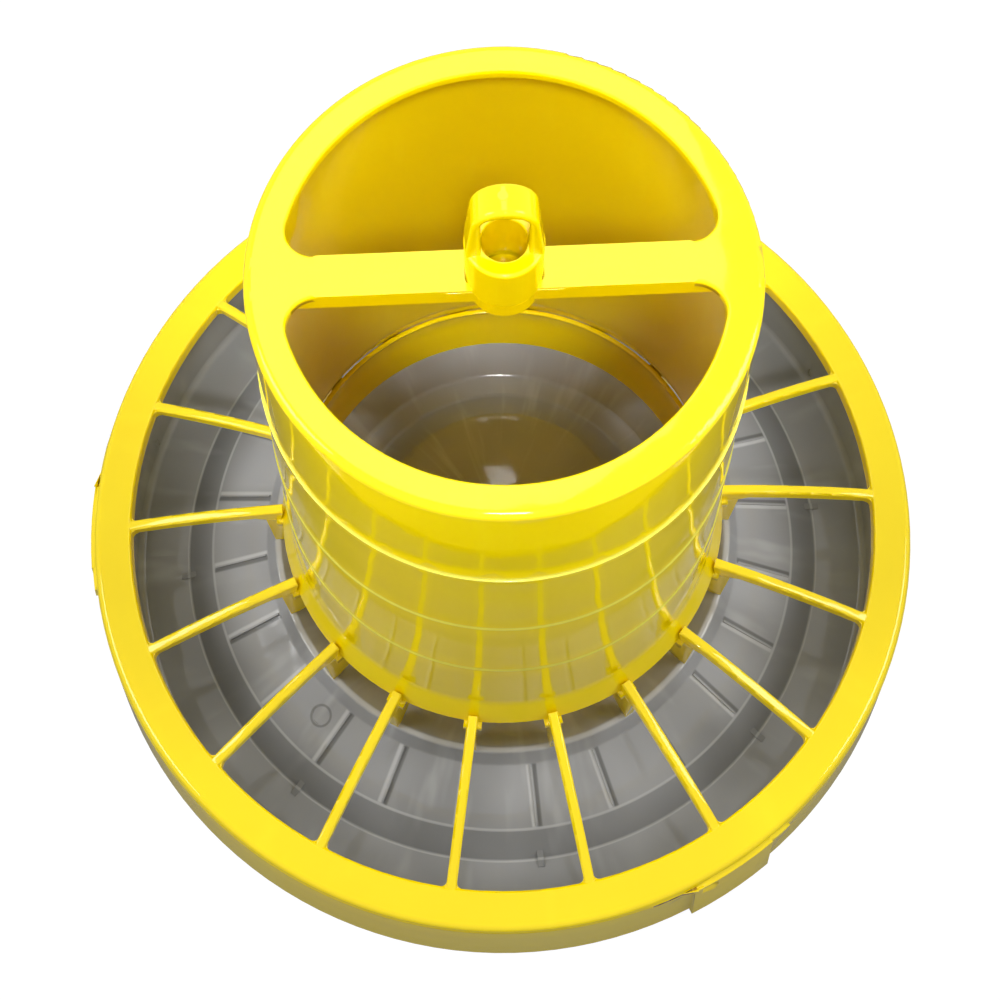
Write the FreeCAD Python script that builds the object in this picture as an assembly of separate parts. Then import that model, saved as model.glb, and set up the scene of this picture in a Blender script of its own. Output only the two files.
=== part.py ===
import FreeCAD, Part
import math
import os

# Round hanging feeder for chicks, in millimetres. +Z is up, the floor is z = 0 and the barrel's
# axis is the Z axis. The crossbar lies along X, and azimuths are counted from +X towards +Y.

V = FreeCAD.Vector
AXIS = V(0, 0, 1)
EPS = 1e-6

# Ring of the feeding grille. Its flat top is the height that the other heights are counted from.
rim_inner_radius = 145.0
rim_outer_radius = 159.1
rim_thickness = 2.2
rim_edge_round = 2.0
rim_inner_round = 1.0
inner_lip_depth = 8.0
inner_lip_thickness = 2.2
inner_lip_round = 0.6

# Skirt below the ring, with its small step under the ring's edge
skirt_depth = 42.5
skirt_draft = 0.148
skirt_wall = 2.0
skirt_step = 0.4
skirt_step_depth = 3.6
skirt_lip_round = 0.7

# Bars between the ring and the barrel
bar_count = 18
bar_width = 3.8
bar_depth = 8.0
bar_inner_radius = 84.4
bar_inner_height = 13.5
bar_outer_sink = 0.3
bar_outer_taper = 0.6
bar_end_slant = 1.5
bar_nose_height = 1.2
bar_nose_undercut = 0.2
bar_arch = 2.0
bar_edge_round = 0.9
bar_root_fillet = 2.0
bar_root_sink = 0.8

# Seats and legs under the bars
seat_height = 5.7
seat_width = 6.8
seat_thickness = 4.0
seat_reach = 2.3
seat_edge_round = 0.5
leg_thickness = 3.5
leg_radius = 91.6
leg_foot = 3.4
leg_foot_round = 0.6
leg_outlet_rise = 0.5

# Inner collar that the barrel stands over
collar_spigot = 5.3
collar_wall = 2.0
collar_outlet_radius = 77.9
collar_outlet_depth = 17.3
collar_clearance = 0.3
collar_edge_round = 0.5

# Hopper barrel
barrel_height = 209.5
barrel_top_radius = 68.4
barrel_draft = 0.056
barrel_wall = 2.2
ring_first_depth = 48.5
ring_pitch = 47.3
ring_count = 3
ring_step = 0.45
bead_height = 2.7
bead_step = 0.3
flare_height = 16.0
flare_reach = 5.0
flare_round = 25.0
foot_edge_round = 0.6
top_edge_round = 1.5
mouth_radius = 59.3
lip_thickness = 2.6
lip_corner_round = 1.5
lip_overlap = 2.0

# Crossbar over the mouth, an open channel below
crossbar_width = 12.0
crossbar_depth = 6.5
crossbar_wall = 2.4
crossbar_fillet = 8.0

# Hub at the crossbar's middle, closed by a floor between its two recesses
hub_radius = 9.6
hub_bore_radius = 6.0
hub_rise = 14.0
hub_drop = 9.6
hub_floor_depth = 3.4
hub_floor_thickness = 2.4
hub_lip_round = 1.0
hub_recess_round = 0.5
parting_ridge = 0.15
parting_ridge_height = 0.5

# Hanging eye on the hub
eye_half_width = 10.5
eye_thickness = 8.2
eye_leg_height = 12.0
eye_height = 36.5
eye_crown_thickness = 5.0
eye_window_round = 5.0
eye_edge_round = 1.8
eye_window_edge_round = 0.8

# Feed pan, radii and depths below the ring's top
pan_wall = 2.2
disc_radius = 50.0
disc_depth = 26.0
valley_inner_radius = 62.0
valley_outer_radius = 71.0
valley_depth = 36.0
crest_radius = 90.7
crest_width = 2.4
crest_depth = 21.8
panel_inner_radius = 95.7
panel_inner_depth = 27.0
panel_outer_radius = 119.7
panel_outer_depth = 37.7
foot_line_radius = 130.9
channel_outer_radius = 151.5
channel_depth = 45.0
pan_wall_draft = 0.042
pan_lip_depth = 4.5
pan_lip_round = 0.7
channel_corner_round = 3.0
disc_edge_round = 3.0
valley_round = 4.0
crest_round = 1.5
panel_inner_round = 3.0
panel_edge_round = 0.6
foot_line_round = 1.0

# Small forms of the pan
fin_count = 24
fin_width = 0.9
fin_height = 0.7
fin_azimuth = 4.0
fin_margin = 1.2
nub_every = 3
nub_width = 2.4
nub_reach = 3.2
nub_rise = 0.35
notch_count = 8
notch_width = 2.6
notch_height = 4.5
notch_depth = 0.6
mould_mark_radius = 3.6
mould_mark_depth = 0.25
mould_mark_azimuth = 224.0
mould_mark_offset = 104.4

# Shared lengths: how far one form sinks into the next so that they fuse, and how far a cutting
# form runs past the surface that it cuts
sink = 1.0
overrun = 2.0
least_round = 0.3

# Bayonet that holds the pan: three lugs, and three hollow housings on the skirt
bayonet_count = 3
bayonet_azimuth = 60.0
housing_rise = 2.2
housing_wall = 2.0
housing_start = -6.7
housing_end = 5.5
housing_top_depth = 4.0
housing_top_slope = 0.8
housing_edge_round = 0.5
housing_end_wall = 0.7
window_start = -5.6
window_end = -3.2
window_top_depth = 5.5
window_height = 7.0
lug_start = -5.8
lug_sweep = 4.8
lug_clearance = 0.4
lug_top_depth = 7.0
lug_thickness = 4.0
lug_edge_round = 0.5
shelf_thickness = 2.0
shelf_clearance = 0.2
shelf_sweep = 5.6
stop_end = 8.7
stop_rise = 1.1
stop_height = 9.0
stop_chamfer = 0.8
ramp_start = -12.6
ramp_groove_radius = 159.7
ramp_groove = 1.2
ramp_groove_margin = 0.8
ramp_floor = 1.5
ramp_wall = 0.9
ramp_height = 5.5
ramp_rise = 0.6
ramp_edge_round = 0.3

# Heights that follow from the sizes above
rim_z = channel_depth + pan_wall
barrel_top_z = rim_z + barrel_height
seat_z = rim_z + seat_height


def unit(vector):
    return vector * (1.0 / vector.Length)


def rounded_outline(corners):
    """Closed outline in the XZ plane; a corner is (radius, z) or (radius, z, rounding)."""
    points = [V(corner[0], 0, corner[1]) for corner in corners]
    rounds = [corner[2] if len(corner) > 2 else 0.0 for corner in corners]
    count = len(points)
    starts = list(points)
    ends = list(points)
    arcs = {}
    for index, here in enumerate(points):
        back = unit(points[index - 1] - here)
        ahead = unit(points[(index + 1) % count] - here)
        half = back.getAngle(ahead) / 2
        if rounds[index] <= 0 or half > math.pi / 2 - 1e-3:
            continue
        reach = rounds[index] / math.tan(half)
        bulge = rounds[index] / math.sin(half) - rounds[index]
        starts[index] = here + back * reach
        ends[index] = here + ahead * reach
        middle = here + unit(back + ahead) * bulge
        arcs[index] = Part.Arc(starts[index], middle, ends[index]).toShape()
    edges = []
    for index in range(count):
        if index in arcs:
            edges.append(arcs[index])
        following = (index + 1) % count
        if (starts[following] - ends[index]).Length > EPS:
            edges.append(Part.makeLine(ends[index], starts[following]))
    return Part.Wire(edges)


def offset_corners(corners, distance):
    """The same open line of corners, moved by distance to the right of its direction."""
    points = [V(corner[0], 0, corner[1]) for corner in corners]
    moved = []
    for index, point in enumerate(points):
        before = unit(point - points[index - 1]) if index > 0 else None
        after = unit(points[index + 1] - point) if index < len(points) - 1 else None
        before = before or after
        after = after or before
        right_before = V(before.z, 0, -before.x)
        right_after = V(after.z, 0, -after.x)
        mitre = unit(right_before + right_after)
        place = point + mitre * (distance / mitre.dot(right_after))
        turn = before.x * after.z - before.z * after.x
        grown = corners[index][2] + (distance if turn > 0 else -distance)
        moved.append((place.x, place.z, max(grown, least_round)))
    return moved


def revolved(corners, start=0.0, sweep=360.0):
    """Solid of a rounded outline turned about the barrel's axis."""
    face = Part.Face(rounded_outline(corners))
    face.rotate(V(0, 0, 0), AXIS, start)
    return face.revolve(V(0, 0, 0), AXIS, sweep)


def plate(corners, thickness):
    """Flat plate of a radial outline, centred on the XZ plane."""
    face = Part.Face(rounded_outline(corners))
    face.translate(V(0, -thickness / 2, 0))
    return face.extrude(V(0, thickness, 0))


def turned(shape, azimuth):
    copy = shape.copy()
    copy.rotate(V(0, 0, 0), AXIS, azimuth)
    return copy


def pattern(shape, count, first=0.0):
    return [turned(shape, first + index * 360.0 / count) for index in range(count)]


def ring_radii():
    """Radius and height of each ring step of the barrel, from the top one down."""
    rings = []
    radius = barrel_top_radius
    height = barrel_top_z
    drop = ring_first_depth
    for _ in range(ring_count):
        height -= drop
        radius += barrel_draft * drop
        rings.append((radius, height))
        radius += ring_step
        drop = ring_pitch
    return rings


def flare_corner():
    """Outer corner where the barrel's plain cone turns into its flared foot."""
    radius, height = ring_radii()[-1]
    flare_z = seat_z + flare_height
    return radius + ring_step + barrel_draft * (height - flare_z), flare_z


def foot_inner_radius():
    slant = math.hypot(flare_height, flare_reach) / flare_height
    return flare_corner()[0] + flare_reach - barrel_wall * slant


def barrel_wall_solid():
    """Conical wall with ring steps, flared foot and flat inward lip."""
    corner_radius, corner_z = flare_corner()
    outside = [(barrel_top_radius, barrel_top_z, top_edge_round)]
    for index, (radius, height) in enumerate(ring_radii()):
        outside.append((radius, height))
        below = radius + ring_step
        if index == 0:
            bead_z = height - bead_height
            outside.append((below + bead_step, height))
            outside.append((below + bead_step + barrel_draft * bead_height, bead_z))
            outside.append((below + barrel_draft * bead_height, bead_z))
        else:
            outside.append((below, height))
    outside.append((corner_radius, corner_z, flare_round))
    outside.append((corner_radius + flare_reach, seat_z, foot_edge_round))
    inside = [
        (foot_inner_radius(), seat_z, foot_edge_round),
        (corner_radius - barrel_wall, corner_z, flare_round + barrel_wall),
        (barrel_top_radius - barrel_wall, barrel_top_z - lip_thickness, lip_corner_round),
        (mouth_radius + lip_overlap / 2, barrel_top_z - lip_thickness),
        (mouth_radius + lip_overlap / 2, barrel_top_z),
    ]
    return revolved(outside + inside)


def mouth_opening(side):
    """One of the two D-shaped openings between the crossbar and the lip."""
    low = crossbar_width / 2
    fillet_y = low + crossbar_fillet
    fillet_x = math.sqrt((mouth_radius - crossbar_fillet) ** 2 - fillet_y**2)
    reach = mouth_radius / (mouth_radius - crossbar_fillet)
    wall_x = fillet_x * reach
    wall_y = fillet_y * reach
    slant = math.pi / 2 - math.atan2(fillet_y, fillet_x)
    inner = slant / 2 + math.pi / 4 - math.atan2(fillet_y, fillet_x) / 2
    bend_x = fillet_x + crossbar_fillet * math.sin(inner)
    bend_y = fillet_y - crossbar_fillet * math.cos(inner)
    edges = [
        Part.makeLine(V(-fillet_x, low, 0), V(fillet_x, low, 0)),
        Part.Arc(V(fillet_x, low, 0), V(bend_x, bend_y, 0), V(wall_x, wall_y, 0)).toShape(),
        Part.Arc(V(wall_x, wall_y, 0), V(0, mouth_radius, 0), V(-wall_x, wall_y, 0)).toShape(),
        Part.Arc(V(-wall_x, wall_y, 0), V(-bend_x, bend_y, 0), V(-fillet_x, low, 0)).toShape(),
    ]
    face = Part.Face(Part.Wire(edges))
    face.translate(V(0, 0, barrel_top_z - crossbar_depth - overrun))
    solid = face.extrude(V(0, 0, crossbar_depth + 2 * overrun))
    return turned(solid, 0 if side > 0 else 180)


def mouth_plate():
    """Lip and crossbar as one plate with its two openings, on the channel's side walls."""
    radius = mouth_radius + lip_overlap
    disc = Part.makeCylinder(radius, lip_thickness, V(0, 0, barrel_top_z - lip_thickness))
    length = 2 * (barrel_top_radius - barrel_wall / 2)
    low_z = barrel_top_z - crossbar_depth
    walls = []
    for side in (-1, 1):
        low_y = side * (crossbar_width / 2 - crossbar_wall / 2) - crossbar_wall / 2
        corner = V(-length / 2, low_y, low_z)
        walls.append(Part.makeBox(length, crossbar_wall, crossbar_depth - EPS, corner))
    within = Part.makeCylinder(barrel_top_radius - barrel_wall / 2, crossbar_depth, V(0, 0, low_z))
    walls = [wall.common(within) for wall in walls]
    solid = disc.fuse(walls)
    return solid.cut([mouth_opening(1), mouth_opening(-1)])


def hub_solid():
    """Short tube with a floor, a lip at the top and a fine ridge at the parting line."""
    top = barrel_top_z + hub_rise
    low = barrel_top_z - hub_drop
    floor_top = barrel_top_z - hub_floor_depth
    floor_low = floor_top - hub_floor_thickness
    ridge_top = floor_top + parting_ridge_height
    return revolved(
        [
            (0, floor_top),
            (hub_bore_radius, floor_top),
            (hub_bore_radius, top, hub_recess_round),
            (hub_radius, top, hub_lip_round),
            (hub_radius, ridge_top),
            (hub_radius + parting_ridge, ridge_top),
            (hub_radius + parting_ridge, floor_top),
            (hub_radius, floor_top),
            (hub_radius, low, hub_lip_round),
            (hub_bore_radius, low, hub_recess_round),
            (hub_bore_radius, floor_low),
            (0, floor_low),
        ]
    )


def on_face(edge, y):
    return all(abs(vertex.Y - y) < EPS for vertex in edge.Vertexes)


def hanging_eye():
    """Upright arch, half an ellipse on short legs, with its rounded window."""
    half = eye_thickness / 2
    base = barrel_top_z
    spring = base + eye_leg_height
    crown = base + eye_height
    ellipse = Part.Ellipse(V(0, -half, crown), V(eye_half_width, -half, spring), V(0, -half, spring))
    arch = Part.ArcOfEllipse(ellipse, -math.pi / 2, math.pi / 2).toShape()
    first, second = arch.Vertexes[0].Point, arch.Vertexes[-1].Point
    edges = [
        arch,
        Part.makeLine(second, V(second.x, -half, base)),
        Part.makeLine(V(second.x, -half, base), V(first.x, -half, base)),
        Part.makeLine(V(first.x, -half, base), first),
    ]
    outer = Part.Face(Part.Wire(Part.__sortEdges__(edges)))
    solid = outer.extrude(V(0, eye_thickness, 0))
    rims = [edge for edge in solid.Edges if on_face(edge, half) or on_face(edge, -half)]
    rims = [edge for edge in rims if edge.BoundBox.ZMax > base + sink]
    solid = solid.makeFillet(eye_edge_round, rims)
    top = base + eye_height - eye_crown_thickness
    window = plate(
        [
            (-hub_bore_radius, base + hub_rise),
            (hub_bore_radius, base + hub_rise),
            (hub_bore_radius, top, eye_window_round),
            (-hub_bore_radius, top, eye_window_round),
        ],
        3 * eye_thickness,
    )
    solid = solid.cut(window)
    inner = [edge for edge in solid.Edges if on_face(edge, half) or on_face(edge, -half)]
    limit = hub_bore_radius + EPS
    inner = [
        edge
        for edge in inner
        if edge.BoundBox.XMax < limit
        and edge.BoundBox.XMin > -limit
        and edge.BoundBox.ZMax > base + hub_rise + sink
    ]
    return solid.makeFillet(eye_window_edge_round, inner)


def hopper_barrel():
    low = barrel_top_z - hub_drop
    core = Part.makeCylinder(hub_radius - EPS, hub_drop + hub_rise, V(0, 0, low))
    eye = hanging_eye()
    foot = Part.makeCylinder(hub_radius - EPS, hub_rise, V(0, 0, barrel_top_z - EPS))
    body = barrel_wall_solid().fuse([mouth_plate().cut(core), eye.cut(foot)])
    return body.fuse(hub_solid()).removeSplitter()


def skirt_radius(depth):
    """Outer radius of the skirt at a depth below the ring's top."""
    step = skirt_step if depth >= skirt_step_depth else 0.0
    return rim_outer_radius + skirt_draft * depth + step


def rim_and_skirt():
    low_z = rim_z - skirt_depth
    step_z = rim_z - skirt_step_depth
    under_z = rim_z - rim_thickness
    lip_z = rim_z - inner_lip_depth
    lip_radius = rim_inner_radius + inner_lip_thickness
    return revolved(
        [
            (rim_inner_radius, rim_z, rim_inner_round),
            (rim_outer_radius, rim_z, rim_edge_round),
            (skirt_radius(skirt_step_depth) - skirt_step, step_z),
            (skirt_radius(skirt_step_depth), step_z),
            (skirt_radius(skirt_depth), low_z, skirt_lip_round),
            (skirt_radius(skirt_depth) - skirt_wall, low_z, skirt_lip_round),
            (skirt_radius(rim_thickness) - skirt_wall, under_z, rim_inner_round),
            (lip_radius, under_z, inner_lip_round),
            (lip_radius, lip_z, inner_lip_round),
            (rim_inner_radius, lip_z, inner_lip_round),
        ]
    )


def arc_height(arc, radius):
    """Height of an upward bulging arc of the XZ plane at a radius."""
    circle = arc.toShape().Curve
    run = radius - circle.Center.x
    return circle.Center.z + math.sqrt(circle.Radius**2 - run**2)


def grille_bar():
    """One arched bar along +X with rounded edges and a blunt inner end."""
    inner_z = rim_z + bar_inner_height
    outer_radius = rim_inner_radius + inner_lip_thickness / 2
    outer_z = rim_z - bar_outer_sink
    middle_radius = (bar_inner_radius + outer_radius) / 2
    middle_z = (inner_z + outer_z) / 2 + bar_arch
    side_y = -bar_width / 2
    top = Part.Arc(
        V(bar_inner_radius, side_y, inner_z),
        V(middle_radius, side_y, middle_z),
        V(outer_radius, side_y, outer_z),
    )
    low = Part.Arc(
        V(bar_inner_radius, side_y, inner_z - bar_depth),
        V(middle_radius, side_y, middle_z - bar_depth),
        V(outer_radius, side_y, outer_z - bar_depth + bar_outer_taper),
    )
    start = bar_inner_radius - overrun
    top_start = V(start, side_y, arc_height(top, start))
    low_start = V(start, side_y, arc_height(low, start))
    top_middle = V(middle_radius, side_y, middle_z)
    low_middle = V(middle_radius, side_y, middle_z - bar_depth)
    top_end = V(outer_radius, side_y, outer_z)
    low_end = V(outer_radius, side_y, outer_z - bar_depth + bar_outer_taper)
    edges = [
        Part.Arc(top_start, top_middle, top_end).toShape(),
        Part.makeLine(top_end, low_end),
        Part.Arc(low_end, low_middle, low_start).toShape(),
        Part.makeLine(low_start, top_start),
    ]
    solid = Part.Face(Part.Wire(edges)).extrude(V(0, bar_width, 0))
    sides = [edge for edge in solid.Edges if on_face(edge, side_y) or on_face(edge, -side_y)]
    along = [edge for edge in sides if edge.BoundBox.XLength > bar_depth]
    solid = solid.makeFillet(bar_edge_round, along)
    return solid.cut(bar_end_cut(inner_z))


def bar_end_cut(inner_z):
    """Wedge that leaves an upright nose at the bar's inner end and a slant below it."""
    nose_radius = bar_inner_radius - bar_nose_undercut
    nose_z = inner_z - bar_nose_height
    undercut = bar_nose_undercut / bar_nose_height
    slope = (bar_end_slant + bar_nose_undercut) / (bar_depth - bar_nose_height)
    near = bar_inner_radius - 2 * overrun
    return plate(
        [
            (near, inner_z + bar_depth),
            (bar_inner_radius + undercut * bar_depth, inner_z + bar_depth),
            (nose_radius, nose_z),
            (nose_radius + slope * bar_depth, nose_z - bar_depth),
            (near, nose_z - bar_depth),
        ],
        2 * bar_width,
    )


def bar_root():
    """Plan fillets where a bar meets the ring, tangent to the bar's sides and the ring's edge."""
    half = bar_width / 2
    fillet_y = half + bar_root_fillet
    fillet_x = math.sqrt((rim_inner_radius - bar_root_fillet) ** 2 - fillet_y**2)
    reach = rim_inner_radius / (rim_inner_radius - bar_root_fillet)
    rim_x = fillet_x * reach
    rim_y = fillet_y * reach
    back = rim_inner_radius + sink
    inner = math.pi / 4 + math.atan2(fillet_y, fillet_x) / 2
    bend_x = fillet_x + bar_root_fillet * math.sin(inner)
    bend_y = fillet_y - bar_root_fillet * math.cos(inner)
    edges = [
        Part.makeLine(V(fillet_x, -half, 0), V(fillet_x, half, 0)),
        Part.Arc(V(fillet_x, half, 0), V(bend_x, bend_y, 0), V(rim_x, rim_y, 0)).toShape(),
        Part.makeLine(V(rim_x, rim_y, 0), V(back, rim_y, 0)),
        Part.makeLine(V(back, rim_y, 0), V(back, -rim_y, 0)),
        Part.makeLine(V(back, -rim_y, 0), V(rim_x, -rim_y, 0)),
        Part.Arc(V(rim_x, -rim_y, 0), V(bend_x, -bend_y, 0), V(fillet_x, -half, 0)).toShape(),
    ]
    face = Part.Face(Part.Wire(edges))
    face.translate(V(0, 0, rim_z - inner_lip_depth + bar_root_sink))
    return face.extrude(V(0, 0, inner_lip_depth - 2 * bar_root_sink))


def seat_and_leg():
    """Seat block for the barrel's foot and the leg that reaches down to the pan's crest."""
    foot_outer = flare_corner()[0] + flare_reach + seat_reach
    inner = foot_inner_radius() - collar_wall + seat_edge_round
    seat_low_z = seat_z - seat_thickness
    seat = plate(
        [
            (inner, seat_z),
            (foot_outer, seat_z, seat_edge_round),
            (foot_outer, seat_low_z, seat_edge_round),
            (inner, seat_low_z),
        ],
        seat_width,
    )
    foot_z = rim_z - crest_depth
    outlet_z = rim_z - collar_outlet_depth
    leg_top_z = seat_z - sink
    leg = plate(
        [
            (inner, leg_top_z),
            (leg_radius, leg_top_z),
            (leg_radius, foot_z, leg_foot_round),
            (leg_radius - leg_foot, foot_z, leg_foot_round),
            (collar_outlet_radius + collar_wall / 2, outlet_z + leg_outlet_rise),
        ],
        leg_thickness,
    )
    return [seat, leg]


def collar():
    """Funnel ring: a spigot inside the barrel's foot, narrowing below it to the outlet."""
    top_z = seat_z + collar_spigot
    waist = foot_inner_radius() - collar_clearance
    top = waist - flare_reach / flare_height * collar_spigot
    low_z = rim_z - collar_outlet_depth
    return revolved(
        [
            (top - collar_wall, top_z, collar_edge_round),
            (top, top_z, collar_edge_round),
            (waist, seat_z),
            (collar_outlet_radius + collar_wall, low_z, collar_edge_round),
            (collar_outlet_radius, low_z, collar_edge_round),
            (waist - collar_wall, seat_z),
        ]
    )


def housing_radius(depth):
    return skirt_radius(depth) + housing_rise


def housing_box():
    """Raised housing on the skirt, at azimuth 0."""
    high_z = rim_z - housing_top_depth
    return revolved(
        [
            (skirt_radius(housing_top_depth) - sink, high_z + housing_top_slope),
            (housing_radius(housing_top_depth) - housing_top_slope, high_z, housing_edge_round),
            (housing_radius(skirt_depth), rim_z - skirt_depth, housing_edge_round),
            (skirt_radius(skirt_depth) - sink, rim_z - skirt_depth),
        ],
        housing_start,
        housing_end - housing_start,
    )


def housing_stop():
    """Low bump past the housing, on the upper part of the skirt."""
    high = skirt_step_depth
    low = skirt_step_depth + stop_height
    inner = skirt_radius(high) - sink
    return revolved(
        [
            (inner, rim_z - high),
            (skirt_radius(high), rim_z - high),
            (skirt_radius(high) + stop_rise, rim_z - high - stop_chamfer),
            (skirt_radius(low) + stop_rise, rim_z - low + stop_chamfer),
            (skirt_radius(low), rim_z - low),
            (inner, rim_z - low),
        ],
        housing_end - housing_end_wall / 2,
        stop_end - housing_end + housing_end_wall / 2,
    )


def housing_ramp():
    """Small trough in front of the housing, with its groove left to be cut."""
    high_z = rim_z - skirt_step_depth + ramp_rise
    low_z = high_z - ramp_height
    outer = ramp_groove_radius + ramp_groove + ramp_wall
    return revolved(
        [
            (ramp_groove_radius - sink, high_z),
            (outer, high_z, ramp_edge_round),
            (outer, low_z + ramp_floor, ramp_edge_round),
            (ramp_groove_radius - sink, low_z),
        ],
        ramp_start,
        housing_start - ramp_start + housing_end_wall / 2,
    )


def ramp_space():
    """Groove of the trough, open at the top."""
    high_z = rim_z - skirt_step_depth + ramp_rise
    floor_z = high_z - ramp_height + 2 * ramp_floor
    outer = ramp_groove_radius + ramp_groove
    return revolved(
        [
            (ramp_groove_radius, high_z + overrun),
            (outer, high_z + overrun),
            (outer, floor_z),
            (ramp_groove_radius, floor_z),
        ],
        ramp_start + ramp_groove_margin,
        housing_start - ramp_start - ramp_groove_margin + housing_end_wall / 2,
    )


def housing_space():
    """Hollow inside a housing, open below, and the window in its outer wall."""
    top = housing_top_depth + housing_wall
    low = skirt_depth + overrun
    inner = rim_outer_radius - skirt_wall
    cavity = revolved(
        [
            (inner, rim_z - top),
            (housing_radius(top) - housing_wall, rim_z - top),
            (housing_radius(low) - housing_wall, rim_z - low),
            (inner, rim_z - low),
        ],
        housing_start + housing_end_wall,
        housing_end - housing_start - 2 * housing_end_wall,
    )
    window_low = window_top_depth + window_height
    outer = housing_radius(window_low) + overrun
    window = revolved(
        [
            (inner, rim_z - window_top_depth),
            (outer, rim_z - window_top_depth),
            (outer, rim_z - window_low),
            (inner, rim_z - window_low),
        ],
        window_start,
        window_end - window_start,
    )
    return [cavity, window]


def housing_shelf():
    """Shelf inside a housing that the pan's lug turns on to."""
    top = lug_top_depth + lug_thickness + shelf_clearance
    low = top + shelf_thickness
    inner = skirt_radius(lug_top_depth) - skirt_wall
    grip = housing_wall / 4
    return revolved(
        [
            (inner, rim_z - top),
            (housing_radius(top) - housing_wall + grip, rim_z - top),
            (housing_radius(low) - housing_wall + grip, rim_z - low),
            (inner, rim_z - low),
        ],
        housing_start + housing_end_wall / 2,
        shelf_sweep,
    )


def feeding_grille():
    ring = rim_and_skirt()
    raised = housing_box().fuse([housing_stop(), housing_ramp()])
    ring = ring.fuse(pattern(raised, bayonet_count, bayonet_azimuth))
    spaces = pattern(ramp_space(), bayonet_count, bayonet_azimuth)
    for space in housing_space():
        spaces += pattern(space, bayonet_count, bayonet_azimuth)
    ring = ring.cut(spaces)
    ring = ring.fuse(pattern(housing_shelf(), bayonet_count, bayonet_azimuth))
    bar = grille_bar().fuse([bar_root()] + seat_and_leg())
    return ring.fuse([collar()] + pattern(bar, bar_count)).removeSplitter()


def pan_profile():
    """Corners of the pan's upper surface, from the axis out to the wall's lip."""
    wall_rise = channel_depth - pan_lip_depth
    return [
        (0.0, rim_z - disc_depth, 0.0),
        (disc_radius, rim_z - disc_depth, disc_edge_round),
        (valley_inner_radius, rim_z - valley_depth, valley_round),
        (valley_outer_radius, rim_z - valley_depth, valley_round),
        (crest_radius - crest_width / 2, rim_z - crest_depth, crest_round),
        (crest_radius + crest_width / 2, rim_z - crest_depth, crest_round),
        (panel_inner_radius, rim_z - panel_inner_depth, panel_inner_round),
        (panel_outer_radius, rim_z - panel_outer_depth, panel_edge_round),
        (foot_line_radius, rim_z - channel_depth, foot_line_round),
        (channel_outer_radius, rim_z - channel_depth, channel_corner_round),
        (channel_outer_radius + pan_wall_draft * wall_rise, rim_z - pan_lip_depth, 0.0),
    ]


def panel_point(radius, lift=0.0):
    """Point on the sloping panel at a radius, lifted square to it."""
    run = panel_outer_radius - panel_inner_radius
    fall = panel_outer_depth - panel_inner_depth
    share = (radius - panel_inner_radius) / run
    length = math.hypot(run, fall)
    place_z = rim_z - panel_inner_depth - fall * share
    return radius + fall / length * lift, place_z + run / length * lift


def pan_fin():
    """Fine radial fin that stands on a panel."""
    inner = panel_inner_radius + fin_margin
    outer = panel_outer_radius - fin_margin
    root = -pan_wall / 2
    return plate(
        [
            panel_point(inner, root),
            panel_point(inner + fin_height, fin_height),
            panel_point(outer - fin_height, fin_height),
            panel_point(outer, root),
        ],
        fin_width,
    )


def pan_nub():
    """Small web in the corner between the steep slope and the channel."""
    floor_z = rim_z - channel_depth
    slope = (channel_depth - panel_outer_depth) / (foot_line_radius - panel_outer_radius)
    top_z = floor_z + slope * nub_reach
    return plate(
        [
            (foot_line_radius - nub_reach, top_z + nub_rise),
            (foot_line_radius + nub_reach, floor_z + nub_rise),
            (foot_line_radius + nub_reach, floor_z - pan_wall / 2),
            (foot_line_radius - nub_reach, top_z - pan_wall / 2),
        ],
        nub_width,
    )


def pan_notch():
    """Shallow upright recess at the foot of the pan's wall."""
    floor_z = rim_z - channel_depth + channel_corner_round
    return plate(
        [
            (channel_outer_radius - overrun, floor_z),
            (channel_outer_radius + notch_depth, floor_z),
            (channel_outer_radius + notch_depth + pan_wall_draft * notch_height, floor_z + notch_height),
            (channel_outer_radius - overrun, floor_z + notch_height),
        ],
        notch_width,
    )


def mould_mark():
    """Round shallow mark in one panel."""
    base_r, base_z = panel_point(mould_mark_offset, -mould_mark_depth)
    top_r, top_z = panel_point(mould_mark_offset, overrun)
    direction = V(top_r - base_r, 0, top_z - base_z)
    mark = Part.makeCylinder(mould_mark_radius, overrun, V(base_r, 0, base_z), direction)
    return turned(mark, mould_mark_azimuth)


def pan_lug():
    """Lug on the pan's wall that lies over a housing's shelf."""
    top_z = rim_z - lug_top_depth
    low_z = top_z - lug_thickness
    inner = channel_outer_radius + pan_wall_draft * (channel_depth - lug_top_depth) + pan_wall / 2
    outer = housing_radius(lug_top_depth) - housing_wall - lug_clearance
    return revolved(
        [
            (inner, top_z),
            (outer, top_z, lug_edge_round),
            (outer, low_z, lug_edge_round),
            (inner, low_z),
        ],
        lug_start,
        lug_sweep,
    )


def feed_pan():
    top = pan_profile()
    under = offset_corners(top, pan_wall)
    under[0] = (0.0, top[0][1] - pan_wall, 0.0)
    lip = [(corner[0], corner[1], pan_lip_round) for corner in (top[-1], under[-1])]
    shell = revolved(top[:-1] + lip + under[-2::-1])
    added = pattern(pan_fin(), fin_count, fin_azimuth)
    added += pattern(pan_nub(), fin_count // nub_every, fin_azimuth)
    added += pattern(pan_lug(), bayonet_count, bayonet_azimuth)
    half_pitch = 180.0 / notch_count
    notches = pattern(pan_notch(), notch_count, fin_azimuth + half_pitch)
    return shell.fuse(added).cut(notches + [mould_mark()]).removeSplitter()


os.makedirs("parts", exist_ok=True)
nodes = {
    "hopper_barrel": hopper_barrel(),
    "feeding_grille": feeding_grille(),
    "feed_pan": feed_pan(),
}
for name, shape in nodes.items():
    solid = shape.Solids[0] if len(shape.Solids) == 1 else shape
    print(name, solid.ShapeType, "valid", solid.isValid(), "solids", len(shape.Solids), solid.BoundBox)
    solid.exportStep(os.path.join("parts", name + ".step"))
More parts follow.
